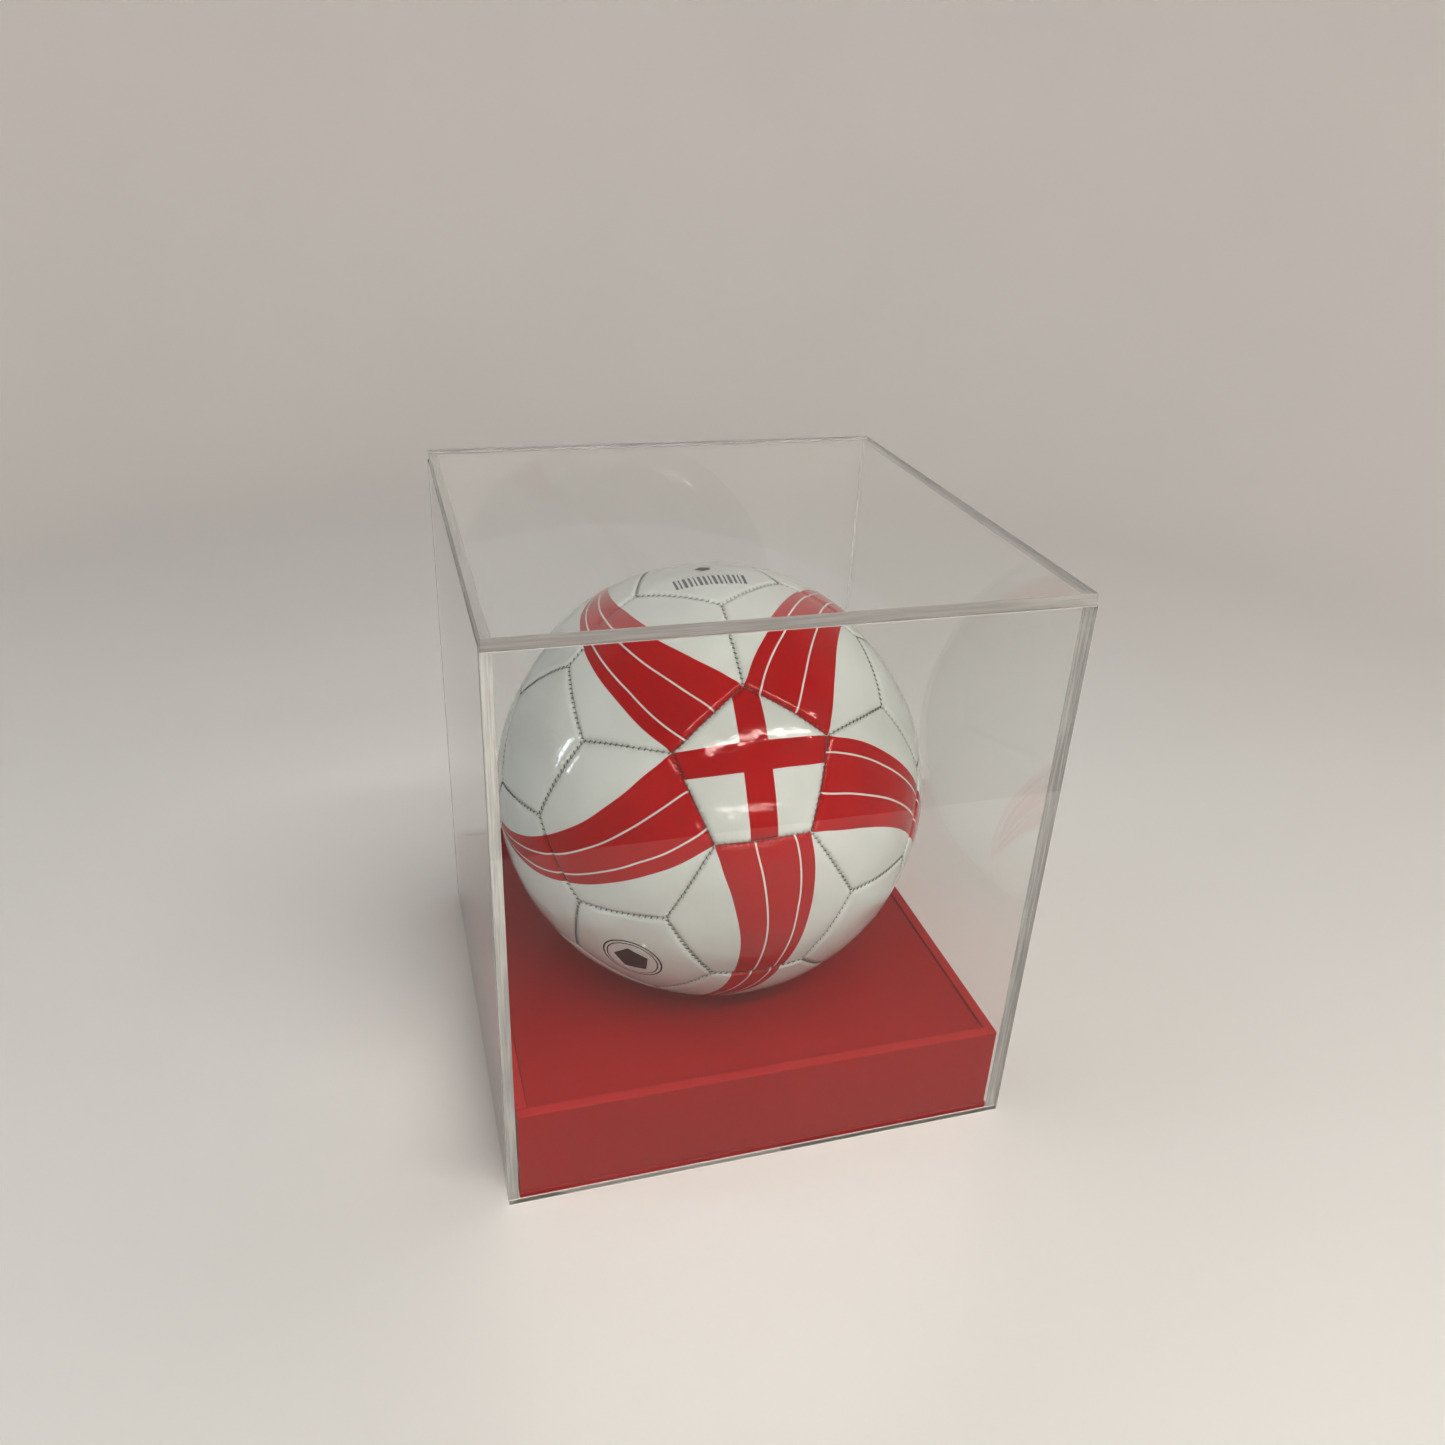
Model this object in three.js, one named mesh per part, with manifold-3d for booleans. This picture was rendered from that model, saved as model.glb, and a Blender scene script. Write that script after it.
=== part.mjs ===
// Football display case: a clear five-panel cover over a box base with a round seat that holds a football.
// Millimetres, +Z up. The origin is the centre of the cover's footprint, on the surface the case stands on.
import * as THREE from "three";
import { mergeVertices } from "three/addons/utils/BufferGeometryUtils.js";
import Module from "manifold-3d";

// Driving dimensions.
const SHEET = 5; // thickness of the acrylic sheet that the cover and base are cut from
const GLUE_LINE = 0.2; // gap between glued panels

const COVER_SIDE = 250; // outer width and depth of the cover
const COVER_HEIGHT = 285;
const LID_INSET = 0.5; // the top panel stands this far inside the walls' outer faces

const BASE_SIDE = 238; // outer width and depth of the base's walls
const BASE_HEIGHT = 50;
const FOOT_SIDE = 239.4; // the bottom plate stands a little proud of the walls
const FOOT_THICKNESS = 3;
const PLATE_RECESS = 1; // the top plate lies this far below the walls' top edges
const SEAT_RADIUS = 60; // round hole in the top plate that the ball sits in
const SEAT_SIDES = 64;

const BALL_RADIUS = 109.5; // a size 5 football
const BALL_PANEL_THICKNESS = 2.4;
const SEAM_GAP = 0.3; // between neighbouring panels
const SEAT_GAP = 0.25; // between the ball and the edge of its seat
const PANEL_STEPS = 3; // how finely a panel follows the sphere
const BLADDER_RADIUS = 106.2; // outside of the bladder, just under the panels
const BLADDER_THICKNESS = 0.9;
const BLADDER_SIDES = 28;
const BLADDER_RINGS = 14;

const VALVE_RADIUS = 3.4;
const VALVE_SIDES = 20;
const VALVE_CLEARANCE = 0.3; // round the valve in the panel and in the bladder
const VALVE_RECESS = 0.6; // the valve's face lies this far below the panel
const VALVE_BULB_RADIUS = 5; // the root of the valve, inside the bladder
const VALVE_BULB_LENGTH = 12;
const NEEDLE_RADIUS = 0.9; // blind hole for the pump's needle
const NEEDLE_DEPTH = 14;

// How the ball lies in its seat: its front pentagon is tipped up and turned a little to the left.
const BALL_TURN = THREE.MathUtils.degToRad(-3.9); // about the vertical
const BALL_TIP = THREE.MathUtils.degToRad(-33); // raises the front pentagon above the horizon
const BALL_ROLL = THREE.MathUtils.degToRad(-2.9); // about the front pentagon's own axis

const clearAcrylic = new THREE.MeshStandardMaterial({
  color: 0xe9efee,
  roughness: 0.05,
  metalness: 0,
  transparent: true,
  opacity: 0.2,
});
const redAcrylic = new THREE.MeshStandardMaterial({ color: 0xa8262a, roughness: 0.15, metalness: 0 });
const whiteCover = new THREE.MeshStandardMaterial({ color: 0xe6e8e4, roughness: 0.3, metalness: 0 });
const blackRubber = new THREE.MeshStandardMaterial({ color: 0x1c1c1e, roughness: 0.7, metalness: 0 });

const wasm = await Module();
wasm.setup();

function piece(name, geometry, material) {
  const mesh = new THREE.Mesh(geometry, material);
  mesh.name = name;
  return mesh;
}

// A flat panel, given its size along X, Y and Z, standing on height `bottom` with its middle at x, y.
function sheetPanel(name, [width, depth, height], [x, y, bottom], material) {
  const panel = piece(name, new THREE.BoxGeometry(width, depth, height), material);
  panel.position.set(x, y, bottom + height / 2);
  return panel;
}

// Four walls round a square: front and back run the full width, left and right fit between them.
function fourWalls(prefix, suffix, side, bottom, top, material) {
  const middle = (side - SHEET) / 2;
  const between = side - 2 * (SHEET + GLUE_LINE);
  const height = top - bottom;
  return [
    sheetPanel(`${prefix}_front_${suffix}`, [side, SHEET, height], [0, -middle, bottom], material),
    sheetPanel(`${prefix}_back_${suffix}`, [side, SHEET, height], [0, middle, bottom], material),
    sheetPanel(`${prefix}_left_${suffix}`, [SHEET, between, height], [-middle, 0, bottom], material),
    sheetPanel(`${prefix}_right_${suffix}`, [SHEET, between, height], [middle, 0, bottom], material),
  ];
}

// The cover is open below and rests on the surface round the base.
function cover() {
  const group = new THREE.Group();
  const lidBottom = COVER_HEIGHT - SHEET;
  const lidSide = COVER_SIDE - 2 * LID_INSET;
  group.add(...fourWalls("cover", "panel", COVER_SIDE, 0, lidBottom - GLUE_LINE, clearAcrylic));
  group.add(sheetPanel("cover_top_panel", [lidSide, lidSide, SHEET], [0, 0, lidBottom], clearAcrylic));
  return group;
}

const PLATE_TOP = BASE_HEIGHT - PLATE_RECESS;

// The top plate fits between the walls and has the ball's seat cut through it.
function seatPlate() {
  const half = BASE_SIDE / 2 - SHEET - GLUE_LINE;
  const outline = new THREE.Shape();
  outline.moveTo(-half, -half);
  outline.lineTo(half, -half);
  outline.lineTo(half, half);
  outline.lineTo(-half, half);
  outline.closePath();
  const seat = new THREE.Path();
  seat.absarc(0, 0, SEAT_RADIUS, 0, 2 * Math.PI, true);
  outline.holes.push(seat);
  const plate = new THREE.ExtrudeGeometry(outline, {
    depth: SHEET,
    bevelEnabled: false,
    curveSegments: SEAT_SIDES / 2, // counted per half turn
  });
  const mesh = piece("base_top_plate", plate, redAcrylic);
  mesh.position.z = PLATE_TOP - SHEET;
  return mesh;
}

function base() {
  const group = new THREE.Group();
  const foot = [FOOT_SIDE, FOOT_SIDE, FOOT_THICKNESS];
  group.add(sheetPanel("base_bottom_plate", foot, [0, 0, 0], redAcrylic));
  group.add(...fourWalls("base", "wall", BASE_SIDE, FOOT_THICKNESS + GLUE_LINE, BASE_HEIGHT, redAcrylic));
  group.add(seatPlate());
  return group;
}

// The ball is a truncated icosahedron drawn on a sphere. Its 12 pentagons are centred on an icosahedron's
// corners, the first of them facing -Y with a corner towards +Z.
const NEIGHBOUR_ANGLE = Math.atan(2); // between the centres of neighbouring pentagons

function pentagonCentres() {
  const front = new THREE.Vector3(0, -1, 0);
  const ring = [0, 1, 2, 3, 4].map((k) => {
    const around = (k * 2 * Math.PI) / 5;
    return new THREE.Vector3(
      Math.sin(NEIGHBOUR_ANGLE) * Math.sin(around),
      -Math.cos(NEIGHBOUR_ANGLE),
      Math.sin(NEIGHBOUR_ANGLE) * Math.cos(around),
    );
  });
  const frontHalf = [front, ...ring];
  return [...frontHalf, ...frontHalf.map((c) => c.clone().negate())];
}

const CENTRES = pentagonCentres();
const isNeighbour = (a, b) => Math.abs(a.angleTo(b) - NEIGHBOUR_ANGLE) < 0.01;

// The corner where the seam that joins the centres a and b leaves the pentagon round a.
const seamCorner = (a, b) => a.clone().multiplyScalar(2).add(b).normalize();

// Corners in order round their middle, anticlockwise seen from outside.
function inOrder(corners) {
  const middle = new THREE.Vector3();
  corners.forEach((c) => middle.add(c));
  middle.normalize();
  const across = corners[0].clone().addScaledVector(middle, -corners[0].dot(middle)).normalize();
  const up = new THREE.Vector3().crossVectors(middle, across);
  const turn = (c) => Math.atan2(c.dot(up), c.dot(across));
  return corners.slice().sort((a, b) => turn(a) - turn(b));
}

function pentagons() {
  return CENTRES.map((centre) => {
    const near = CENTRES.filter((other) => isNeighbour(centre, other));
    return inOrder(near.map((other) => seamCorner(centre, other)));
  });
}

function hexagons() {
  const found = [];
  CENTRES.forEach((a, i) =>
    CENTRES.forEach((b, j) =>
      CENTRES.forEach((c, k) => {
        if (i >= j || j >= k || !isNeighbour(a, b) || !isNeighbour(b, c) || !isNeighbour(a, c)) return;
        const pairs = [[a, b], [b, a], [b, c], [c, b], [c, a], [a, c]];
        found.push(inOrder(pairs.map(([from, to]) => seamCorner(from, to))));
      }),
    ),
  );
  return found;
}

// One curved panel of even thickness, drawn in a little from its seams on every side.
function panelGeometry(corners) {
  const middle = new THREE.Vector3();
  corners.forEach((c) => middle.addScaledVector(c, 1 / corners.length));
  const halfEdge = corners[0].clone().add(corners[1]).multiplyScalar(0.5);
  const apothem = halfEdge.distanceTo(middle) * BALL_RADIUS;
  const shrink = 1 - SEAM_GAP / 2 / apothem;
  const drawnIn = corners.map((c) => c.clone().sub(middle).multiplyScalar(shrink).add(middle));
  const inner = BALL_RADIUS - BALL_PANEL_THICKNESS;
  const positions = [];
  const corner = (p, radius) => positions.push(...p.clone().setLength(radius).toArray());
  const triangle = (a, b, c) => {
    [a, b, c].forEach((p) => corner(p, BALL_RADIUS));
    [c, b, a].forEach((p) => corner(p, inner));
  };
  drawnIn.forEach((from, i) => {
    const to = drawnIn[(i + 1) % drawnIn.length];
    // The point `out` steps from the middle and `along` steps from one side of the sector to the other.
    const at = (out, along) =>
      middle
        .clone()
        .addScaledVector(from.clone().sub(middle), (out - along) / PANEL_STEPS)
        .addScaledVector(to.clone().sub(middle), along / PANEL_STEPS);
    for (let out = 0; out < PANEL_STEPS; out++) {
      for (let along = 0; along <= out; along++) {
        triangle(at(out, along), at(out + 1, along), at(out + 1, along + 1));
        if (along < out) triangle(at(out, along), at(out + 1, along + 1), at(out, along + 1));
      }
    }
    for (let along = 0; along < PANEL_STEPS; along++) {
      const a = at(PANEL_STEPS, along);
      const b = at(PANEL_STEPS, along + 1);
      corner(a, BALL_RADIUS);
      corner(a, inner);
      corner(b, inner);
      corner(a, BALL_RADIUS);
      corner(b, inner);
      corner(b, BALL_RADIUS);
    }
  });
  const attribute = new THREE.Float32BufferAttribute(positions, 3);
  return new THREE.BufferGeometry().setAttribute("position", attribute);
}

function toSolid(geometry) {
  const bare = geometry.clone();
  bare.deleteAttribute("normal");
  bare.deleteAttribute("uv");
  const merged = mergeVertices(bare, 1e-3);
  return new wasm.Manifold(
    new wasm.Mesh({
      numProp: 3,
      vertProperties: merged.attributes.position.array,
      triVerts: new Uint32Array(merged.index.array),
    }),
  );
}

function toGeometry(solid) {
  const { vertProperties, triVerts } = solid.getMesh();
  return new THREE.BufferGeometry()
    .setAttribute("position", new THREE.BufferAttribute(vertProperties, 3))
    .setIndex(new THREE.BufferAttribute(triVerts, 1))
    .toNonIndexed();
}

// Pieces round the valve are turned about Y, then stood along the valve's direction.
const VALVE_PENTAGON = 1; // the pentagon above the front one holds the valve
const valveDirection = CENTRES[VALVE_PENTAGON];
const alongValve = new THREE.Quaternion().setFromUnitVectors(new THREE.Vector3(0, 1, 0), valveDirection);
const valveHole = VALVE_RADIUS + VALVE_CLEARANCE;

function panelWithValveHole(corners) {
  const throughPanel = 6 * BALL_PANEL_THICKNESS;
  const drill = new THREE.CylinderGeometry(valveHole, valveHole, throughPanel, VALVE_SIDES);
  drill.applyQuaternion(alongValve);
  drill.translate(...valveDirection.clone().setLength(BALL_RADIUS - BALL_PANEL_THICKNESS / 2).toArray());
  return toGeometry(toSolid(panelGeometry(corners)).subtract(toSolid(drill)));
}

// A hollow rubber sphere, open where the valve passes through it.
function bladder() {
  const inner = BLADDER_RADIUS - BLADDER_THICKNESS;
  const neck = Math.asin(valveHole / inner);
  const arc = (radius, t) => {
    const angle = neck + (Math.PI - neck) * t; // from the valve's end to the far end
    const x = t === 1 ? 0 : radius * Math.sin(angle);
    return new THREE.Vector2(x, radius * Math.cos(angle));
  };
  const steps = Array.from({ length: BLADDER_RINGS + 1 }, (_, k) => k / BLADDER_RINGS);
  const outside = steps.map((t) => arc(BLADDER_RADIUS, t)).reverse();
  const inside = steps.map((t) => arc(inner, t));
  const mesh = piece(
    "ball_bladder",
    new THREE.LatheGeometry([...outside, ...inside], BLADDER_SIDES),
    blackRubber,
  );
  mesh.quaternion.copy(alongValve);
  return mesh;
}

// The valve: a stem through the panel and the bladder, a wider root inside, and a blind hole for the needle.
function valve() {
  const top = BALL_RADIUS - VALVE_RECESS;
  const shoulder = BLADDER_RADIUS - BLADDER_THICKNESS - 2 * VALVE_CLEARANCE;
  const root = shoulder - VALVE_BULB_LENGTH;
  const profile = [
    [0, root],
    [VALVE_RADIUS, root],
    [VALVE_BULB_RADIUS, root + VALVE_BULB_LENGTH / 4],
    [VALVE_BULB_RADIUS, shoulder],
    [VALVE_RADIUS, shoulder],
    [VALVE_RADIUS, top],
    [NEEDLE_RADIUS, top],
    [NEEDLE_RADIUS, top - NEEDLE_DEPTH],
    [0, top - NEEDLE_DEPTH],
  ].map(([x, y]) => new THREE.Vector2(x, y));
  const mesh = piece("ball_valve", new THREE.LatheGeometry(profile, VALVE_SIDES), blackRubber);
  mesh.quaternion.copy(alongValve);
  return mesh;
}

const twoDigits = (index) => String(index + 1).padStart(2, "0");

function ball() {
  const group = new THREE.Group();
  pentagons().forEach((corners, i) => {
    const geometry = i === VALVE_PENTAGON ? panelWithValveHole(corners) : panelGeometry(corners);
    group.add(piece(`ball_pentagon_${twoDigits(i)}`, geometry, whiteCover));
  });
  hexagons().forEach((corners, i) =>
    group.add(piece(`ball_hexagon_${twoDigits(i)}`, panelGeometry(corners), whiteCover)),
  );
  group.add(bladder(), valve());
  group.rotation.set(BALL_TIP, BALL_ROLL, BALL_TURN, "ZXY");
  // The ball rests on the seat's upper edge, so its centre is above the plate by a triangle's third side.
  group.position.z = PLATE_TOP + Math.sqrt((BALL_RADIUS + SEAT_GAP) ** 2 - SEAT_RADIUS ** 2);
  return group;
}

const displayCase = new THREE.Group();
displayCase.add(base(), cover(), ball());
export default displayCase;
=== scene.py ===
import math

import bmesh
import bpy
import numpy as np
from mathutils import Matrix, Quaternion, Vector
from mathutils.geometry import delaunay_2d_cdt


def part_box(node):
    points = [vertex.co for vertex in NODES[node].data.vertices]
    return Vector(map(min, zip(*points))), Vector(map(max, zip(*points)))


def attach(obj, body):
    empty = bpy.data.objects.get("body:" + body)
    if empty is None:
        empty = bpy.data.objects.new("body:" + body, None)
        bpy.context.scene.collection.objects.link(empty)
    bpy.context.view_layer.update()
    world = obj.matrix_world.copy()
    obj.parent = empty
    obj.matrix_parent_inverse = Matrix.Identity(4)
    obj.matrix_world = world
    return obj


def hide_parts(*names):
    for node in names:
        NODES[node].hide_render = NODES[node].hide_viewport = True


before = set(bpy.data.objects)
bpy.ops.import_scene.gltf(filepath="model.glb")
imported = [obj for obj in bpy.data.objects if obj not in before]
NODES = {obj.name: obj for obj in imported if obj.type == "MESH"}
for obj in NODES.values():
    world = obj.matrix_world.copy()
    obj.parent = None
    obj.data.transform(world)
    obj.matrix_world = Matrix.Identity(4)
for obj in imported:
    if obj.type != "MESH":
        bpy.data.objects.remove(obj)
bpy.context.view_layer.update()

MM = 0.001


# ----------------------------------------------------------------------------------------------------
# Material building

def new_material(name):
    """An empty node material and its tree."""
    made = bpy.data.materials.new(name)
    made.use_nodes = True
    made.node_tree.nodes.clear()
    return made, made.node_tree


def add_node(tree, kind, settings=None, **inputs):
    """A shader node. An input is a value or another node's output, with underscores for its name's spaces."""
    made = tree.nodes.new("ShaderNode" + kind)
    for key, value in (settings or {}).items():
        setattr(made, key, value)
    for key, value in inputs.items():
        socket = made.inputs[key.replace("_", " ")]
        if isinstance(value, bpy.types.NodeSocket):
            tree.links.new(value, socket)
        else:
            socket.default_value = value
    return made


def place_of(tree, stretch=(1, 1, 1)):
    """Coordinates in metres that stay with the piece, stretched along each axis."""
    where = add_node(tree, "TexCoord").outputs["Object"]
    return add_node(tree, "Mapping", Vector=where, Scale=stretch).outputs["Vector"]


def noise_of(tree, size, detail=2.0, rough=0.5, stretch=(1, 1, 1)):
    """Noise from 0 to 1 whose features are about `size` metres across."""
    return add_node(tree, "TexNoise", Vector=place_of(tree, stretch), Scale=1 / size, Detail=detail,
                    Roughness=rough).outputs["Fac"]


def ramp(tree, value, low, high, to_low, to_high):
    """value taken from the range low..high to the range to_low..to_high, smoothly."""
    made = add_node(tree, "MapRange", {"interpolation_type": "SMOOTHSTEP"}, Value=value)
    for key, number in zip(("From Min", "From Max", "To Min", "To Max"), (low, high, to_low, to_high)):
        made.inputs[key].default_value = number
    return made.outputs["Result"]


def mixed_colour(tree, share, first, second):
    made = tree.nodes.new("ShaderNodeMix")
    made.data_type = "RGBA"
    tree.links.new(share, made.inputs[0])
    for socket, value in ((made.inputs[6], first), (made.inputs[7], second)):
        if isinstance(value, bpy.types.NodeSocket):
            tree.links.new(value, socket)
        else:
            socket.default_value = (*value, 1)
    return made.outputs[2]


def mixed_shader(tree, share, first, second):
    made = tree.nodes.new("ShaderNodeMixShader")
    if isinstance(share, bpy.types.NodeSocket):
        tree.links.new(share, made.inputs[0])
    else:
        made.inputs[0].default_value = share
    tree.links.new(first, made.inputs[1])
    tree.links.new(second, made.inputs[2])
    return made.outputs["Shader"]


def bumped(tree, height, strength, distance, below=None):
    made = add_node(tree, "Bump", Height=height, Strength=strength, Distance=distance)
    if below is not None:
        tree.links.new(below, made.inputs["Normal"])
    return made.outputs["Normal"]


def finish_with(tree, shader):
    out = tree.nodes.new("ShaderNodeOutputMaterial")
    tree.links.new(shader, out.inputs["Surface"])


def glossy_print(name, colour, darker):
    """Glossy foam-backed plastic skin with a fine grain, slightly uneven in colour, shine and surface."""
    made, tree = new_material(name)
    patches = noise_of(tree, 0.03, 3.0)
    specks = noise_of(tree, 0.004, 4.0)
    shade = ramp(tree, patches, 0.35, 0.7, 0.0, 0.7)
    tone = mixed_colour(tree, shade, colour, darker)
    speckled = mixed_colour(tree, ramp(tree, specks, 0.62, 0.75, 0.0, 0.25), tone, darker)
    grain = noise_of(tree, 0.0007, 2.0)
    ripple = noise_of(tree, 0.0032, 2.0)
    wave = noise_of(tree, 0.012, 1.0)
    uneven = bumped(tree, wave, 0.25, 0.0009)
    rippled = bumped(tree, ripple, 0.35, 0.0003, uneven)
    normal = bumped(tree, grain, 0.10, 0.0001, rippled)
    skin = add_node(tree, "BsdfPrincipled", Base_Color=speckled, Normal=normal, Specular_IOR_Level=0.45,
                    Roughness=ramp(tree, specks, 0.3, 0.7, 0.035, 0.08))
    finish_with(tree, skin.outputs["BSDF"])
    return made


def thread_material():
    made, tree = new_material("seam_thread")
    twist = add_node(tree, "TexWave", {"bands_direction": "DIAGONAL"}, Vector=place_of(tree), Scale=2600.0,
                     Distortion=1.0).outputs["Fac"]
    # The thread's dark grey is painted shade, standing in for the shade down in the stitch holes.
    tone = mixed_colour(tree, noise_of(tree, 0.005), (0.08, 0.085, 0.072), (0.16, 0.165, 0.145))
    yarn = add_node(tree, "BsdfPrincipled", Base_Color=tone, Roughness=0.8,
                    Normal=bumped(tree, twist, 0.5, 0.0001))
    finish_with(tree, yarn.outputs["BSDF"])
    return made


def rubber_material():
    made, tree = new_material("black_rubber")
    dust = noise_of(tree, 0.002, 4.0)
    dusting = ramp(tree, dust, 0.45, 0.8, 0.0, 0.6)
    tone = mixed_colour(tree, dusting, (0.012, 0.012, 0.013), (0.05, 0.05, 0.048))
    rubber = add_node(tree, "BsdfPrincipled", Base_Color=tone,
                      Roughness=ramp(tree, dust, 0.3, 0.7, 0.45, 0.7),
                      Normal=bumped(tree, noise_of(tree, 0.0008), 0.3, 0.0001))
    finish_with(tree, rubber.outputs["BSDF"])
    return made


def red_acrylic(name, colour, lighter, marks):
    """Dyed cast acrylic: deep gloss, with dust and fine rub marks. `marks` is how far they roughen it."""
    made, tree = new_material(name)
    cloud = noise_of(tree, 0.08, 3.0)
    dust = noise_of(tree, 0.0016, 5.0, 0.7)
    tone = mixed_colour(tree, ramp(tree, cloud, 0.3, 0.7, 0.0, 0.35), colour, lighter)
    dusty = mixed_colour(tree, ramp(tree, dust, 0.66, 0.8, 0.0, 0.12), tone, (0.6, 0.45, 0.42))
    rubs = noise_of(tree, 0.02, 6.0, 0.6, (1, 6, 1))
    sheet = add_node(tree, "BsdfPrincipled", Base_Color=dusty,
                     Roughness=ramp(tree, rubs, 0.35, 0.75, 0.05, 0.05 + marks),
                     Normal=bumped(tree, noise_of(tree, 0.05, 1.0), 0.05, 0.0006),
                     Specular_IOR_Level=0.12)
    finish_with(tree, sheet.outputs["BSDF"])
    return made


EDGE_STREAK = 32.0  # how much shorter the saw's streaks are across an edge than along it
EDGE_CHALK = 0.5  # how much of a cut edge is chalky, and the rest is clear
# The dimmer and the whiter streaks of the cut edges that run along x, y and z.
# Painted light: the tones differ by axis, and the edges that run along x are painted whiter than those along
# y and z.
EDGE_TONES = (((0.74, 0.72, 0.70), (0.86, 0.85, 0.83)),
              ((0.54, 0.53, 0.52), (0.72, 0.71, 0.69)),
              ((0.54, 0.53, 0.52), (0.78, 0.77, 0.75)))


def let_lamps_through(tree, shader, share):
    """Clear acrylic casts only a faint shadow, so light from lamps is dimmed to `share` and not blocked."""
    lamp_ray = add_node(tree, "LightPath").outputs["Is Shadow Ray"]
    open_way = add_node(tree, "BsdfTransparent", Color=(share, share, share, 1)).outputs["BSDF"]
    return mixed_shader(tree, lamp_ray, shader, open_way)


def clear_face():
    """The sheet's polished face: clear, with the slight cloudiness and waviness of cast acrylic."""
    made, tree = new_material("clear_acrylic_face")
    tint = mixed_colour(tree, noise_of(tree, 0.03, 3.0), (0.975, 0.985, 0.98), (0.995, 0.995, 0.99))
    glass = add_node(tree, "BsdfPrincipled", Base_Color=tint, Roughness=0.0, IOR=1.49,
                     Specular_IOR_Level=0.32, Transmission_Weight=1.0,
                     Normal=bumped(tree, noise_of(tree, 0.09, 0.0), 0.002, 0.0005))
    finish_with(tree, let_lamps_through(tree, glass.outputs["BSDF"], 0.95))
    return made


def clear_edge(axis):
    """The sheet's sawn edge: whitish and half clear, with fine streaks left by the saw along this axis."""
    made, tree = new_material("clear_acrylic_edge_" + "xyz"[axis])
    along = [1.0 if k == axis else EDGE_STREAK for k in range(3)]
    streaks = noise_of(tree, 0.03, 3.0, 0.6, along)
    ticks = noise_of(tree, 0.0025, 3.0, 0.6)
    normal = bumped(tree, ticks, 0.2, 0.0003, bumped(tree, streaks, 0.2, 0.0003))
    glass = add_node(tree, "BsdfPrincipled", Base_Color=(0.95, 0.96, 0.95, 1), Roughness=0.22, IOR=1.49,
                     Transmission_Weight=1.0, Normal=normal)
    dimmer, whiter = EDGE_TONES[axis]
    chalk_and_painted_light = mixed_colour(tree, ramp(tree, streaks, 0.35, 0.65, 0.0, 1.0), dimmer, whiter)
    if axis == 0:
        # Painted shade: the back panel's and the lid's back edges are painted greyer than the front ones.
        depth = add_node(tree, "SeparateXYZ", Vector=place_of(tree)).outputs["Y"]
        chalk_and_painted_light = mixed_colour(tree, ramp(tree, depth, 0.0, 0.1, 0.0, 1.0), chalk_and_painted_light, (0.26, 0.255, 0.25))
    chalk = add_node(tree, "BsdfPrincipled", Roughness=0.4, Normal=normal, Base_Color=chalk_and_painted_light)
    edge = mixed_shader(tree, EDGE_CHALK, glass.outputs["BSDF"], chalk.outputs["BSDF"])
    finish_with(tree, let_lamps_through(tree, edge, 0.8))
    return made


# ----------------------------------------------------------------------------------------------------
# Mesh building

def make_piece(name, positions, faces, materials, body, stands_for=(), face_slots=None):
    """A mesh object in the CAD frame that rides on a body and may stand for CAD nodes."""
    mesh = bpy.data.meshes.new(name)
    mesh.from_pydata([tuple(p) for p in positions], [], [tuple(int(i) for i in f) for f in faces])
    for material in materials:
        mesh.materials.append(material)
    if face_slots is not None:
        mesh.polygons.foreach_set("material_index", np.asarray(face_slots, np.int32))
    mesh.polygons.foreach_set("use_smooth", [True] * len(mesh.polygons))
    mesh.update()
    piece = bpy.data.objects.new(name, mesh)
    bpy.context.scene.collection.objects.link(piece)
    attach(piece, body)
    if stands_for:
        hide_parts(*stands_for)
    return piece


# ----------------------------------------------------------------------------------------------------
# Acrylic sheets, for the cover and the base

def sheet_piece(name, node, materials, body, bevel):
    """A flat panel with the CAD panel's size and its arrises eased.

    materials: for its faces, then for its cut edges that run along x, y and z.
    """
    low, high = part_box(node)
    size = high - low
    across = min(range(3), key=lambda axis: size[axis])
    work = bmesh.new()
    bmesh.ops.create_cube(work, size=1.0)
    bmesh.ops.scale(work, vec=size, verts=work.verts)
    bmesh.ops.translate(work, vec=(low + high) / 2, verts=work.verts)
    bmesh.ops.bevel(work, geom=list(work.edges), offset=bevel, segments=3, profile=0.5, affect="EDGES")
    for face in work.faces:
        face.smooth = True
        toward = max(set(range(3)) - {across}, key=lambda axis: abs(face.normal[axis]))
        along = 3 - across - toward  # the third axis, which a cut edge runs along
        face.material_index = 0 if abs(face.normal[across]) > 0.999 else 1 + along
    return mesh_piece(work, name, node, materials, body)


def mesh_piece(work, name, node, materials, body):
    """The bmesh as a piece that stands for a CAD node, with shading that keeps its flat faces flat."""
    mesh = bpy.data.meshes.new(name)
    work.to_mesh(mesh)
    work.free()
    for material in materials:
        mesh.materials.append(material)
    piece = bpy.data.objects.new(name, mesh)
    bpy.context.scene.collection.objects.link(piece)
    weighted = piece.modifiers.new("flat_faces", "WEIGHTED_NORMAL")
    weighted.keep_sharp = True
    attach(piece, body)
    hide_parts(node)
    return piece


SEAT_SIDES = 160
PLATE_ARRIS = 0.6 * MM  # radius of the plate's rounded edges
ARRIS_STEPS = 4


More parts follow.
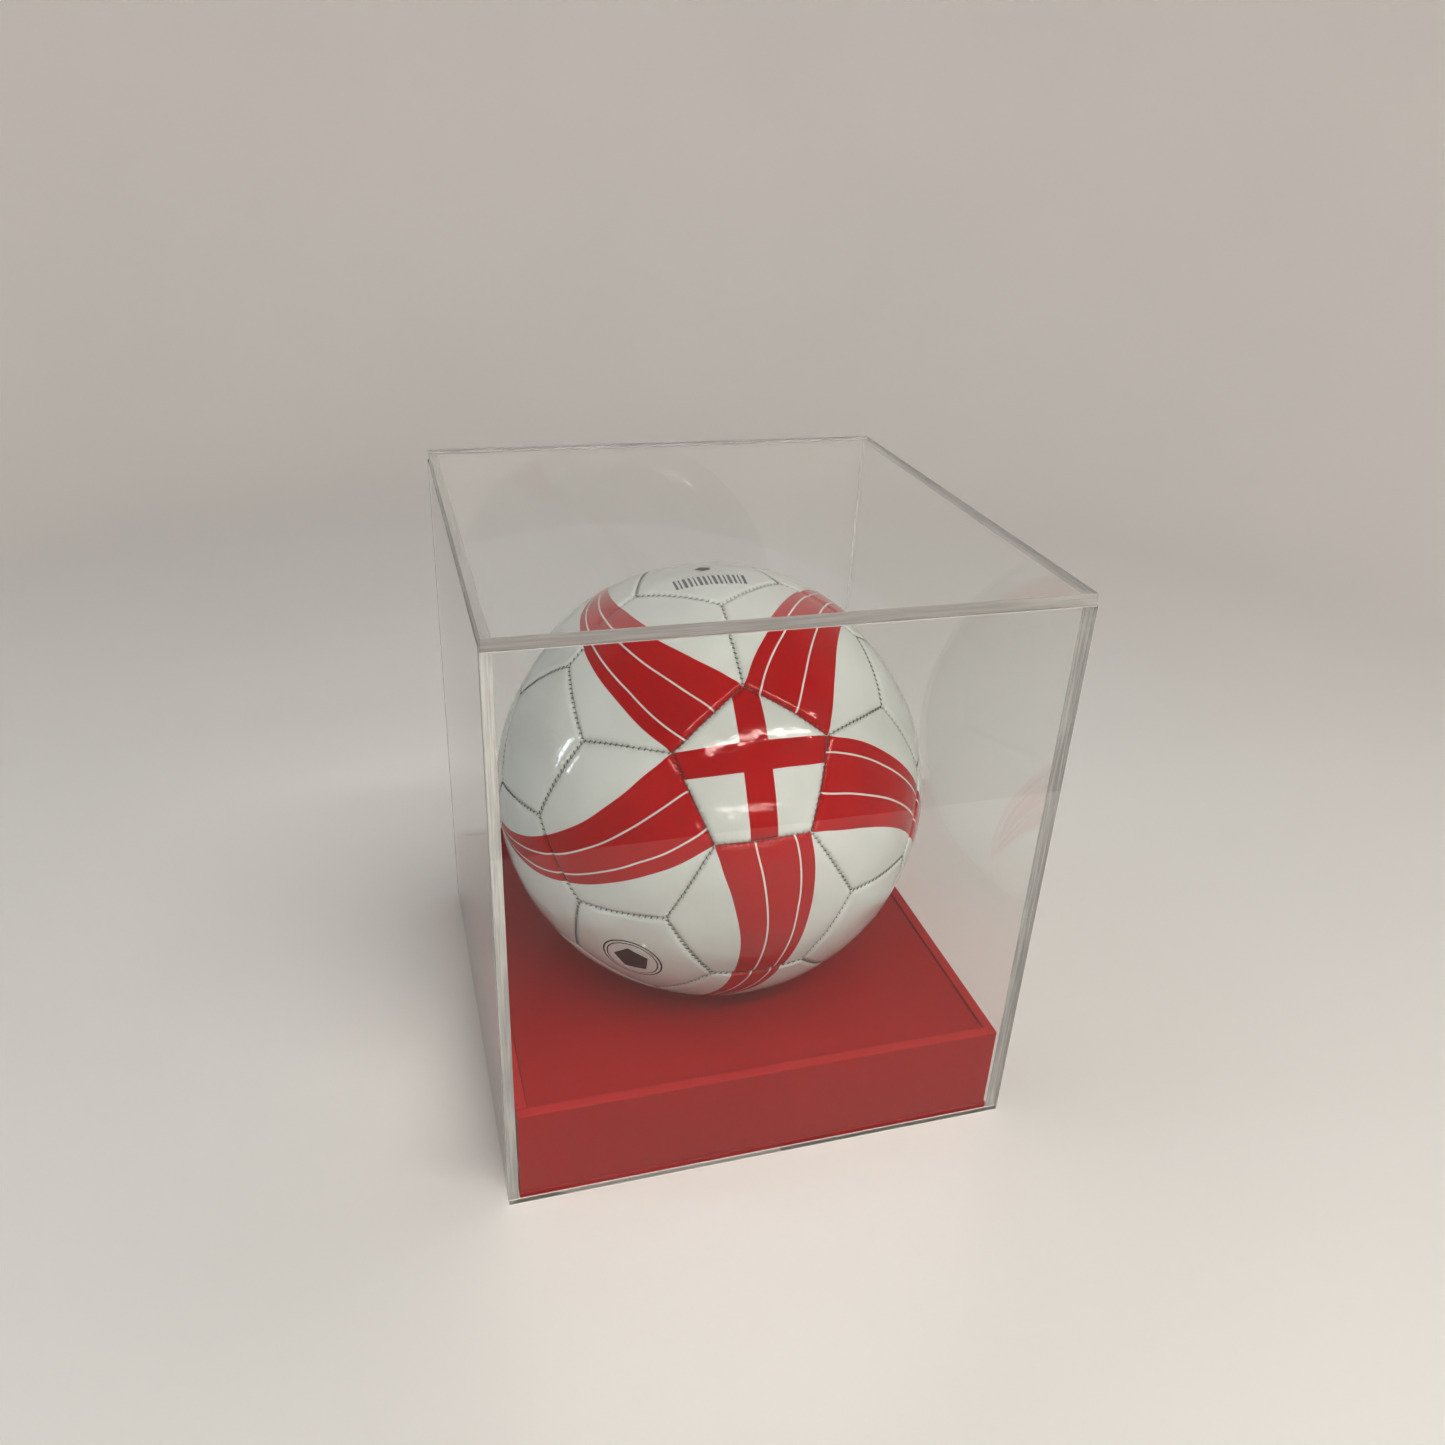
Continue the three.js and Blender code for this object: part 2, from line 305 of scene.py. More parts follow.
def seat_plate(name, node, face_material, edge_material, seat_radius):
    """The base's top plate, with the round seat cut through it and its upper arris rounded over."""
    low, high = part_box(node)
    middle = (low + high) / 2
    half = (high.x - low.x) / 2
    ease = PLATE_ARRIS / 2
    turns = [math.tau * k / SEAT_SIDES for k in range(SEAT_SIDES)]
    work = bmesh.new()

    def ring(reaches, height):
        """Points all round the plate's middle, one for each turn, at these distances from it."""
        return [work.verts.new((middle.x + reach * math.cos(turn), middle.y + reach * math.sin(turn), height))
                for reach, turn in zip(reaches, turns)]

    def square(inset):
        """The outer square's distances. It has the seat's turns, so that the plate's faces are quads."""
        return [(half - inset) / max(abs(math.cos(turn)), abs(math.sin(turn))) for turn in turns]

    # The seat's wall, from the plate's top face round the arris and down to its underside: (radius, height).
    wall = [(seat_radius + PLATE_ARRIS * (1 - math.sin(a)), high.z - PLATE_ARRIS * (1 - math.cos(a)))
            for a in (k * math.pi / 2 / ARRIS_STEPS for k in range(ARRIS_STEPS + 1))]
    wall += [(seat_radius, low.z + PLATE_ARRIS), (seat_radius + PLATE_ARRIS, low.z)]
    # From the seat's underside up its wall, out, and down the outer edge.
    loop = [ring([radius] * SEAT_SIDES, height) for radius, height in wall[::-1]]
    for height, inset in ((high.z, ease), (high.z - ease, 0), (low.z + ease, 0), (low.z, ease)):
        loop.append(ring(square(inset), height))
    for first, second in zip(loop, loop[1:] + loop[:1]):
        for k in range(SEAT_SIDES):
            j = (k + 1) % SEAT_SIDES
            work.faces.new((first[k], first[j], second[j], second[k]))
    bmesh.ops.recalc_face_normals(work, faces=work.faces)
    for face in work.faces:
        face.smooth = True
        face.material_index = 0 if abs(face.normal.z) > 0.99 else 1
    return mesh_piece(work, name, node, [face_material, edge_material], "base")


def build_case():
    clear = [clear_face(), *(clear_edge(axis) for axis in range(3))]
    for side in ("front", "back", "left", "right", "top"):
        sheet_piece(f"clear_{side}_sheet", f"cover_{side}_panel", clear, "cover", 0.25 * MM)
    red = red_acrylic("red_acrylic_face", (0.29, 0.005, 0.007), (0.33, 0.008, 0.010), 0.06)
    # The edges' lighter red is painted light glowing through the sheet's cut edges; their rougher gloss is
    # the cut's own.
    red_edge_painted_glow = red_acrylic("red_acrylic_edge_painted_glow", (0.35, 0.015, 0.016), (0.41, 0.025, 0.024), 0.14)
    for node in sorted(n for n in NODES if n.startswith("base_") and n != "base_top_plate"):
        # The bottom plate's edges keep the face's darker red, without the painted glow.
        edge = red if node == "base_bottom_plate" else red_edge_painted_glow
        name = "red_" + node.removeprefix("base_")
        sheet_piece(name, node, [red, edge, edge, edge], "base", 0.35 * MM)
    centre_height = ball.centre[2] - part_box("base_top_plate")[1].z
    seat_radius = math.sqrt(ball.radius ** 2 - centre_height ** 2)
    seat_plate("red_seat_plate", "base_top_plate", red, red_edge_painted_glow, seat_radius)


# ----------------------------------------------------------------------------------------------------
# The ball's layout, read from the CAD panels

NEIGHBOUR_ANGLE = math.atan(2)  # between the centres of neighbouring pentagons


def unit(v):
    return v / np.linalg.norm(v, axis=-1, keepdims=True)


def node_middle(node):
    points = np.empty(len(NODES[node].data.vertices) * 3)
    NODES[node].data.vertices.foreach_get("co", points)
    return points.reshape(-1, 3).mean(0)


class Ball:
    """Where the ball lies. Its own axes put the front pentagon at -Y and the valve's pentagon towards +Z."""

    def __init__(self):
        front, back = node_middle("ball_pentagon_01"), node_middle("ball_pentagon_07")
        self.centre = (front + back) / 2
        far = self.centre - node_middle("ball_pentagon_08")  # opposite the valve's pentagon
        y = unit(back - front)
        z = unit(far - far @ y * y)
        self.axes = np.column_stack([np.cross(y, z), y, z])
        skin = np.array([v.co for v in NODES["ball_pentagon_01"].data.vertices])
        self.radius = np.linalg.norm(skin - self.centre, axis=1).max()

    def to_frame(self, points):
        """Points in the ball's own axes, as places in the CAD frame."""
        return self.centre + points @ self.axes.T

    def node_near(self, direction):
        """The CAD panel that faces most nearly in this direction."""
        wanted = self.axes @ direction
        panels = [n for n in NODES if n.startswith(("ball_pentagon", "ball_hexagon"))]
        return max(panels, key=lambda n: unit(node_middle(n) - self.centre) @ wanted)


ball = Ball()


def pentagon_centres():
    """The corners of an icosahedron: the front one, its ring of five, and their opposites."""
    ring = [(math.sin(NEIGHBOUR_ANGLE) * math.sin(k * math.tau / 5), -math.cos(NEIGHBOUR_ANGLE),
             math.sin(NEIGHBOUR_ANGLE) * math.cos(k * math.tau / 5)) for k in range(5)]
    half = np.array([(0, -1, 0), *ring])
    return np.vstack([half, -half])


CENTRES = pentagon_centres()
FRONT, VALVE, LOWER_RIGHT, LOWER_LEFT = 0, 1, 3, 4  # pentagons that carry a print or the valve
BACK = 6


def are_neighbours(i, j):
    return abs(math.acos(max(-1.0, min(1.0, CENTRES[i] @ CENTRES[j]))) - NEIGHBOUR_ANGLE) < 0.01


def seam_corner(i, j):
    """Where the seam that joins pentagons i and j leaves pentagon i."""
    return unit(2 * CENTRES[i] + CENTRES[j])


def panel_outlines():
    """Each panel as its corners' directions, with the number of its pentagon or None."""
    found = [([seam_corner(i, j) for j in range(12) if j != i and are_neighbours(i, j)], i)
             for i in range(12)]
    for i in range(12):
        for j in range(i + 1, 12):
            for k in range(j + 1, 12):
                if are_neighbours(i, j) and are_neighbours(j, k) and are_neighbours(i, k):
                    pairs = ((i, j), (j, i), (j, k), (k, j), (k, i), (i, k))
                    found.append(([seam_corner(a, b) for a, b in pairs], None))
    return found


# ----------------------------------------------------------------------------------------------------
# The ball's surface

STITCHES = 16  # along one seam
HALF_GAP = 0.04 * MM  # from a seam's middle to the skin's edge where a stitch pulls it in
SCALLOP = 0.05 * MM  # how far the skin's edge draws back between stitches
ROLL_WIDTH = 3.4 * MM  # the skin rolls into the seam over this width
ROLL_DEPTH = 0.95 * MM
SLIT_WIDTH, SLIT_DEPTH = 0.22 * MM, 0.25 * MM  # the last steep turn down into the seam
CROWN = 0.55 * MM  # a panel's middle stands this much prouder than its rim
PULL_DEPTH = 0.38 * MM  # a stitch pulls the skin in by this much
PULL_AT, PULL_WIDTH = 0.6 * MM, 0.75 * MM
SEAM_WANDER = 0.35 * MM  # seams aren't quite straight
DENT_DEPTH = 0.10 * MM
INNER_DEPTH = 2.7 * MM  # depth of the skin's inner face below the ball's radius
CORNER_POWER = 6.0  # higher makes the roll's corners sharper

random = np.random.default_rng(5)
WANDER_WAVES = [(random.normal(size=3), random.normal(size=3), random.uniform(0, math.tau))
                for _ in range(10)]
DENT_WAVES = [(random.normal(size=3), random.uniform(0, math.tau)) for _ in range(14)]
WANDER_TURNS = 16.0  # waves per radian, about
DENT_TURNS = 13.0


def wander(directions):
    """A small smooth shift of each direction, the same for the panels on both sides of a seam."""
    shift = sum(np.sin(directions @ way * WANDER_TURNS + phase)[:, None] * push
                for way, push, phase in WANDER_WAVES)
    return unit(directions + shift * SEAM_WANDER / ball.radius / len(WANDER_WAVES))


def dents(directions):
    waves = sum(np.sin(directions @ way * DENT_TURNS + phase) for way, phase in DENT_WAVES)
    return waves * DENT_DEPTH / math.sqrt(len(DENT_WAVES))


class Panel:
    """One panel. Plane coordinates are on its own tangent plane, where its seams are straight."""

    def __init__(self, corners, pentagon):
        self.pentagon = pentagon
        self.middle = unit(sum(corners))
        up = self.upward()
        self.up = unit(up - up @ self.middle * self.middle)
        self.right = np.cross(self.up, self.middle)
        flat = np.array([self.to_plane(c) for c in corners])
        order = np.argsort(np.arctan2(flat[:, 1], flat[:, 0]))
        self.corners = flat[order]
        self.sides = len(corners)
        following = np.roll(self.corners, -1, axis=0)
        self.along = unit(following - self.corners)
        self.inward = np.column_stack([-self.along[:, 1], self.along[:, 0]])
        self.edge_middles = (self.corners + following) / 2
        self.edge_length = np.linalg.norm(following[0] - self.corners[0])
        self.apothem = np.linalg.norm(self.edge_middles[0])

    def upward(self):
        """Which way is up on the panel's print: away from the front pentagon, and towards the valve on it."""
        if self.pentagon == FRONT:
            return CENTRES[VALVE]
        if self.pentagon == BACK:
            return HALF_TURN @ CENTRES[VALVE]
        return np.array([0.0, 1.0, 0.0])

    def to_plane(self, direction):
        scale = ball.radius / (direction @ self.middle)
        return np.stack([direction @ self.right * scale, direction @ self.up * scale], axis=-1)

    def directions(self, points):
        spread = points[:, :1] * self.right + points[:, 1:] * self.up
        return unit(spread + ball.radius * self.middle)

    def from_edges(self, points):
        """Distance of each point inside each edge, and its place along that edge from the edge's middle."""
        offset = points[:, None, :] - self.edge_middles[None]
        inside = np.einsum("pej,ej->pe", offset, self.inward)
        along = np.einsum("pej,ej->pe", offset, self.along)
        return inside, along

    def surface(self, points):
        """The outer surface over plane points, in the ball's own axes."""
        inside, along = self.from_edges(points)
        near = np.maximum(inside, 1e-6)
        rim = (near ** -CORNER_POWER).sum(1) ** (-1 / CORNER_POWER)  # distance to the rim
        rim_at_middle = self.apothem * self.sides ** (-1 / CORNER_POWER)
        crown = -CROWN * (1 - np.clip(rim / rim_at_middle, 0, 1)) ** 2
        roll = -ROLL_DEPTH * (1 - np.clip(rim / ROLL_WIDTH, 0, 1)) ** 2
        roll -= SLIT_DEPTH * np.exp(-rim / SLIT_WIDTH)
        stitch = (0.5 - 0.5 * np.cos(math.tau * along / self.edge_length * STITCHES)) ** 2
        pull = -PULL_DEPTH * (stitch * np.exp(-(((inside - PULL_AT) / PULL_WIDTH) ** 2))).sum(1)
        straight = self.directions(points)
        reach = ball.radius - DENT_DEPTH * 2 + crown + roll + pull + dents(straight)
        return wander(straight) * reach[:, None]

    def normals(self, points):
        """The surface's own normals, by small steps along the plane."""
        step = 0.05 * MM
        right = self.surface(points + (step, 0)) - self.surface(points - (step, 0))
        up = self.surface(points + (0, step)) - self.surface(points - (0, step))
        return unit(np.cross(right, up))

    def ring(self, offset, per_edge, scalloped=False):
        """Points round the panel at a distance inside its seams, anticlockwise."""
        scale = (self.apothem - offset) / self.apothem
        corners = self.corners * scale
        following = np.roll(corners, -1, axis=0)
        share = np.linspace(0, 1, per_edge, endpoint=False)
        points = corners[:, None] + (following - corners)[:, None] * share[None, :, None]
        if scalloped:
            along = (points - self.edge_middles[:, None]) @ self.along[:, :, None]
            between = 0.5 + 0.5 * np.cos(math.tau * along / self.edge_length * STITCHES)
            fade = np.clip(np.minimum(share, 1 - share) * STITCHES, 0, 1)[None, :, None]
            points = points + self.inward[:, None] * SCALLOP * between * fade
        return points.reshape(-1, 2)

    def lattice(self, offset, spacing):
        """A triangular lattice of points at least `offset` inside every seam."""
        reach = np.linalg.norm(self.corners[0])
        count = int(reach / spacing) + 2
        i, j = np.meshgrid(np.arange(-count, count + 1), np.arange(-count, count + 1))
        points = np.column_stack([((i + j % 2 / 2) * spacing).ravel(),
                                  (j * spacing * math.sqrt(0.75)).ravel()])
        return points[self.from_edges(points)[0].min(1) > offset]

    def clip(self, first, second, margin):
        """The part of a segment inside the panel by `margin`, or None."""
        span = second - first
        start, end = 0.0, 1.0
        for middle, inward in zip(self.edge_middles, self.inward):
            at_first = (first - middle) @ inward - margin
            change = span @ inward
            if abs(change) < 1e-12:
                if at_first < 0:
                    return None
                continue
            cross = -at_first / change
            if change > 0:
                start = max(start, cross)
            else:
                end = min(end, cross)
        if end - start < 1e-6:
            return None
        return first + span * start, first + span * end


# ----------------------------------------------------------------------------------------------------
# The ball's print: five curved red bands from each end pentagon, a cross on it, and small plain marks

WHITE, RED, BLACK, GREY = range(4)

# Edges of one band: degrees from the end pentagon's middle, then degrees round it from its first corner.
CORNER_ANGLE = math.degrees(math.acos(CENTRES[0] @ seam_corner(0, 1)))
TIP = (88.5, 19.5)
LOW_EDGE = [(CORNER_ANGLE, 0.0), (24, 9.8), (32, 21.0), (45, 27.8), (64, 27.7), (82, 22.4), TIP]
HIGH_EDGE = [(CORNER_ANGLE, 72.0), (24, 66.6), (39, 54.0), (67, 37.8), (82, 25.6), TIP]
# Thin white lines along a band, which start at the end pentagon's edge.
LOW_PIN = [(14, 25.5), (17, 28.4), (26, 34.4), (40, 36.8), (60, 33.5), (80, 25.0), (86, 21.6)]
HIGH_PIN = [(14, 63.0), (33, 51.4), (40, 47.9), (60, 39.2), (70, 33.6), (86, 22.2)]
BAND_TURN = 72.0
PIN_WIDTH = 0.92 * MM
PIN_NARROWS = 70.0  # the pin lines thin out from here to the band's tip
# A half turn that swaps the two ends of the ball and keeps every panel on a panel.
HALF_TURN_AXIS = np.array([math.sin(math.radians(18)), 0.0, math.cos(math.radians(18))])
HALF_TURN = 2 * np.outer(HALF_TURN_AXIS, HALF_TURN_AXIS) - np.eye(3)


def smooth_through(points, per_span=16):
    """A Catmull-Rom curve through points of (degrees away, turn)."""
    given = np.array(points)
    padded = np.vstack([2 * given[0] - given[1], given, 2 * given[-1] - given[-2]])
    share = np.linspace(0, 1, per_span, endpoint=False)[:, None]
    spans = []
    for a, b, c, d in zip(padded, padded[1:], padded[2:], padded[3:]):
        spans.append(0.5 * (2 * b + (c - a) * share + (2 * a - 5 * b + 4 * c - d) * share ** 2
                            + (3 * b - a - 3 * c + d) * share ** 3))
    return np.vstack([*spans, given[-1:]])


LOW_EDGE, HIGH_EDGE, LOW_PIN, HIGH_PIN = (smooth_through(c) for c in (LOW_EDGE, HIGH_EDGE, LOW_PIN, HIGH_PIN))


def turn_of(curve, away):
    """The turn of a curve at each angle away from the end pentagon's middle."""
    return np.interp(away, curve[:, 0], curve[:, 1])


def pin_half_turn(away):
    """Half of a pin line's width, as a turn round the end pentagon."""
    width = PIN_WIDTH * np.clip((TIP[0] - away) / (TIP[0] - PIN_NARROWS), 0.3, 1)
    return np.degrees(width / 2 / ball.radius / np.sin(np.radians(away)))


def polar_of(directions):
    """Degrees away from the front pentagon's middle, and round it, anticlockwise seen from in front."""
    away = np.degrees(np.arccos(np.clip(-directions[:, 1], -1, 1)))
    return away, np.degrees(np.arctan2(-directions[:, 0], directions[:, 2])) % 360


def direction_of(away, turn):
    a, t = np.radians(away), np.radians(turn)
    return np.column_stack([-np.sin(a) * np.sin(t), -np.cos(a), np.sin(a) * np.cos(t)])


def band_curves():
    """Every line of the bands at both ends of the ball, as directions."""
    away = np.append(np.arange(LOW_PIN[0, 0], TIP[0], 0.75), TIP[0])
    from_corner = away[away >= CORNER_ANGLE]
    lines = [(from_corner, turn_of(edge, from_corner)) for edge in (LOW_EDGE, HIGH_EDGE)]
    for pin in (LOW_PIN, HIGH_PIN):
        lines += [(away, turn_of(pin, away) + side * pin_half_turn(away)) for side in (-1, 1)]
    found = []
    for band in range(5):
        for angles, turn in lines:
            line = direction_of(angles, turn + band * BAND_TURN)
            found += [line, line @ HALF_TURN.T]
    return found


BAND_CURVES = band_curves()


def band_colour(directions):
    """WHITE or RED for each direction, by the bands alone."""
    colour = np.full(len(directions), WHITE)
    for seen in (directions, directions @ HALF_TURN.T):
        away, turn = polar_of(seen)
        turn = turn % BAND_TURN
        in_reach = away < TIP[0]
        colour[in_reach & (turn > turn_of(LOW_EDGE, away)) & (turn < turn_of(HIGH_EDGE, away))] = RED
        for pin in (LOW_PIN, HIGH_PIN):
            colour[in_reach & (np.abs(turn - turn_of(pin, away)) < pin_half_turn(away))] = WHITE
    return colour


def box_outline(left, bottom, right, top):
    return np.array([(left, bottom), (right, bottom), (right, top), (left, top)])


def circle_outline(radius, sides, turn=0.0):
    angles = turn + math.tau * np.arange(sides) / sides
    return radius * np.column_stack([np.cos(angles), np.sin(angles)])


CROSS_WIDTH = 13.0 * MM


def cross_marks(panel):
    """A cross over the whole pentagon. Its crossbar hangs from the line between the two side corners."""
    high = panel.corners[:, 1].max() * math.cos(math.radians(BAND_TURN))
    reach = 2 * panel.apothem
    half = CROSS_WIDTH / 2
    return [(box_outline(-half, -reach, half, reach), RED),
            (box_outline(-reach, high - CROSS_WIDTH, reach, high), RED)]


def tally_marks(_panel):
    """A row of plain upright bars, between the valve and the corner nearest the front."""
    bottom, top, between = -21.5 * MM, -11.5 * MM, 1.2 * MM
    marks, left = [], -18.0 * MM
    for k in range(15):
        width = (1.3, 0.9, 1.6)[k % 3] * MM
        marks.append((box_outline(left, bottom, left + width, top), BLACK))
        left += width + between
    return marks


def badge_marks(_panel):
    """A plain solid pentagon in a thin double ring."""
    marks = []
    for radius, colour in ((15.0, BLACK), (14.2, WHITE), (13.0, BLACK), (12.4, WHITE)):
        marks.append((circle_outline(radius * MM, 72), colour))
    marks.append((circle_outline(9.2 * MM, 5, math.pi / 2), BLACK))
    return marks


def line_marks(_panel):
    """Five faint plain lines."""
    half_length, thickness, spacing = 11 * MM, 0.5 * MM, 3.5 * MM
    return [(box_outline(-half_length, k * spacing, half_length, k * spacing + thickness), GREY)
            for k in range(-2, 3)]


MARKS = {FRONT: cross_marks, BACK: cross_marks, VALVE: tally_marks, LOWER_LEFT: badge_marks,
         LOWER_RIGHT: line_marks}


def inside_outline(points, outline):
    """True for each point inside a convex outline that runs anticlockwise."""
    following = np.roll(outline, -1, axis=0)
    span = following - outline
    offset = points[:, None] - outline[None]
    return (span[None, :, 0] * offset[..., 1] - span[None, :, 1] * offset[..., 0] > 0).all(1)


def panel_colours(panel, points, marks):
    """The print's colour at each plane point. Later marks cover earlier ones."""
    on_end = panel.pentagon in (FRONT, BACK)
    colour = np.full(len(points), WHITE) if on_end else band_colour(panel.directions(points))
    for outline, ink in marks:
        colour[inside_outline(points, outline)] = ink
    return colour


# ----------------------------------------------------------------------------------------------------
# Ball panels as meshes

# Rings of points inside the seams: distance from the seam and points on each edge.
EDGE_RINGS = ((0.28 * MM, 80), (0.6 * MM, 80), (1.0 * MM, 80), (1.6 * MM, 64), (2.5 * MM, 32), (3.8 * MM, 16))
LATTICE_SPACING = 4.2 * MM
INNER_SPACING = 3 * LATTICE_SPACING
RIM_POINTS = 5 * STITCHES  # on each edge of a panel
VALVE_HOLE_SIDES = 40
CUT_MARGIN = HALF_GAP + SCALLOP + 0.02 * MM  # the print's cuts stop this far inside the seam
NEAR_PANEL = 0.7  # cosine of the angle from a panel's middle within which a band's line may cross it


def print_segments(panel, marks):
    """The print's lines as segments on the panel's plane, cut off at its rim."""
    lines = []
    if panel.pentagon not in (FRONT, BACK):
        for curve in BAND_CURVES:
            near = curve @ panel.middle > NEAR_PANEL
            if near.any():
                flat = panel.to_plane(curve)
                lines += [(flat[k], flat[k + 1]) for k in range(len(flat) - 1) if near[k] and near[k + 1]]
    for outline, _ink in marks:
        for first, second in zip(outline, np.roll(outline, -1, axis=0)):
            pieces = max(1, round(np.linalg.norm(second - first) / LATTICE_SPACING))
            stops = first + (second - first) * np.linspace(0, 1, pieces + 1)[:, None]
            lines += list(zip(stops, stops[1:]))
    return [cut for cut in (panel.clip(a, b, CUT_MARGIN) for a, b in lines) if cut is not None]


def triangulate(points, edges):
    """Triangles over all the points inside the given edges, and the points as merged."""
    # In millimetres, because the triangulation's own tolerances suit lengths of about one.
    to_mm, merged_within, fill_inside = 1 / MM, 1e-4, 1
    made = delaunay_2d_cdt([Vector(p * to_mm) for p in points], edges, [], fill_inside, merged_within)
    return np.array([tuple(v) for v in made[0]]) / to_mm, np.array([tuple(f) for f in made[2]])


def rim_of(triangles):
    """The boundaries as loops of point numbers: the rim runs anticlockwise, and a hole's edge clockwise."""
    sides = {(a, b) for t in triangles for a, b in zip(t, np.roll(t, -1))}
    following = {a: b for a, b in sides if (b, a) not in sides}
    loops = []
    while following:
        start = next(iter(following))
        loop, at = [], start
        while at in following:
            loop.append(at)
            at = following.pop(at)
        loops.append(loop)
    return loops


def closed_edges(start, count):
    """Edges from point to point round a loop whose points are numbered from start."""
    return [(start + k, start + (k + 1) % count) for k in range(count)]


def without_hole(points, triangles, hole):
    """The triangles that lie outside the valve's hole, or all of them where there is none."""
    if not hole:
        return triangles
    middles = points[triangles].mean(1)
    return triangles[np.linalg.norm(middles, axis=1) > hole * math.cos(math.pi / VALVE_HOLE_SIDES)]


def outer_plan(panel, marks, hole):
    """Plane points and triangles of a panel's outer skin, cut along the lines of its print."""
    rim = panel.ring(HALF_GAP, RIM_POINTS, scalloped=True)
    points = [rim]
    edges = closed_edges(0, len(rim))
    if hole:
        edges += closed_edges(len(rim), VALVE_HOLE_SIDES)
        points.append(circle_outline(hole, VALVE_HOLE_SIDES))
    points += [panel.ring(offset, count) for offset, count in EDGE_RINGS]
    points.append(panel.lattice(EDGE_RINGS[-1][0] + 0.4 * LATTICE_SPACING, LATTICE_SPACING))
    count = sum(map(len, points))
    for first, second in print_segments(panel, marks):
        edges.append((count, count + 1))
        points.append(np.array([first, second]))
        count += 2
    flat, triangles = triangulate(np.vstack(points), edges)
    return flat, without_hole(flat, triangles, hole)


def inner_plan(panel, rims, hole):
    """Plane points and triangles of a panel's inner skin, inside the same rims as the outer skin."""
    edges, start = [], 0
    for rim in rims:
        edges += closed_edges(start, len(rim))
        start += len(rim)
    flat, triangles = triangulate(np.vstack([*rims, panel.lattice(INNER_SPACING, INNER_SPACING)]), edges)
    return flat, without_hole(flat, triangles, hole)


def side_faces(outer_loops, inner_loops, inner_start):
    """Quads that join the outer skin's rims to the inner skin's."""
    faces = []
    for outer, inner in zip(outer_loops, inner_loops):
        for k in range(len(outer)):
            j = (k + 1) % len(outer)
            faces.append((outer[j], outer[k], inner_start + inner[k], inner_start + inner[j]))
    return faces


def build_panel(panel, number, skins, hole):
    """One panel: printed outer skin rolled in at its rim, sides, and inner skin, as one closed mesh."""
    marks = MARKS[panel.pentagon](panel) if panel.pentagon in MARKS else []
    flat, triangles = outer_plan(panel, marks, hole)
    loops = rim_of(triangles)
    inner_flat, inner_triangles = inner_plan(panel, [flat[loop] for loop in loops], hole)
    outer = panel.surface(flat)
    inner = wander(panel.directions(inner_flat)) * (ball.radius - INNER_DEPTH)
    sides = side_faces(sorted_loops(loops, flat), sorted_loops(rim_of(inner_triangles), inner_flat),
                       len(outer))
    faces = [*triangles, *(inner_triangles[:, ::-1] + len(outer)), *sides]
    unprinted = len(inner_triangles) + len(sides)
    slots = [*panel_colours(panel, flat[triangles].mean(1), marks), *([WHITE] * unprinted)]
    kind = "hexagon" if panel.pentagon is None else "pentagon"
    piece = make_piece(f"skin_{kind}_{number:02d}", ball.to_frame(np.vstack([outer, inner])), faces, skins,
                       "ball", [ball.node_near(panel.middle)], slots)
    normals = np.vstack([panel.normals(flat), -unit(inner)]) @ ball.axes.T
    piece.data.normals_split_custom_set_from_vertices([tuple(n) for n in normals])
    return piece


def sorted_loops(loops, points):
    """Loops with the widest first, each started at its point of least turn, so that two sets match up."""
    ordered = []
    for loop in sorted(loops, key=lambda k: -np.abs(points[k]).max()):
        turns = np.arctan2(points[loop][:, 1], points[loop][:, 0])
        first = int(np.argmin(turns))
        ordered.append(loop[first:] + loop[:first])
    return ordered


# ----------------------------------------------------------------------------------------------------
# Thread in the seams

THREAD_RADIUS = 0.26 * MM
THREAD_HALF_SPAN = 0.62 * MM
THREAD_DEPTH = 0.82 * MM  # its ends, below the panels' rims
THREAD_BOW = 0.15 * MM  # its middle above its ends
THREAD_LEAN = 0.4 * MM
THREAD_SIDES, THREAD_STEPS = 6, 4


def seams():
    """Each seam once, as the directions of its two ends."""
    found = {}
    for corners, pentagon in panel_outlines():
        panel = Panel(corners, pentagon)
        ends = panel.directions(panel.corners)
        for first, second in zip(ends, np.roll(ends, -1, axis=0)):
            key = tuple(np.round(unit(first + second), 4) + 0.0)
            found.setdefault(key, (first, second))
    return list(found.values())


def stitch_path(spot, way):
    """Points along one stitch, which slants across the seam and bows up in its middle."""
    across = unit(np.cross(spot, way))
    depth = ball.radius - CROWN - THREAD_DEPTH
    path = []
    for step in range(THREAD_STEPS + 1):
        share = 2 * step / THREAD_STEPS - 1
        at = spot * ball.radius + share * (across * THREAD_HALF_SPAN + way * THREAD_LEAN)
        path.append(wander(unit(at)[None])[0] * (depth + THREAD_BOW * (1 - share ** 2)))
    return path


def tube_round(path, beside, start):
    """Points and faces of a closed tube round a path. Its points are numbered from start."""
    positions, faces = [], []
    for point in path:
        for side in range(THREAD_SIDES):
            angle = math.tau * side / THREAD_SIDES
            outwards = unit(point) * math.sin(angle) + beside * math.cos(angle)
            positions.append(point + THREAD_RADIUS * outwards)
    for step in range(THREAD_STEPS):
        for a, b in closed_edges(start + step * THREAD_SIDES, THREAD_SIDES):
            faces.append((a, b, b + THREAD_SIDES, a + THREAD_SIDES))
    last = start + THREAD_STEPS * THREAD_SIDES
    faces.append(tuple(range(start, start + THREAD_SIDES))[::-1])
    faces.append(tuple(range(last, last + THREAD_SIDES)))
    return positions, faces


def build_thread(material):
    """Short slanting stitches across every seam, each sunk into the skin at both ends."""
    positions, faces = [], []
    for first, second in seams():
        way = unit(second - first)
        for k in range(STITCHES):
            spot = unit(first + (second - first) * (k + 0.5) / STITCHES)
            tube = tube_round(stitch_path(spot, way), way, len(positions))
            positions += tube[0]
            faces += tube[1]
    return make_piece("seam_thread", ball.to_frame(np.array(positions)), faces, [material], "ball")


# ----------------------------------------------------------------------------------------------------
# The valve

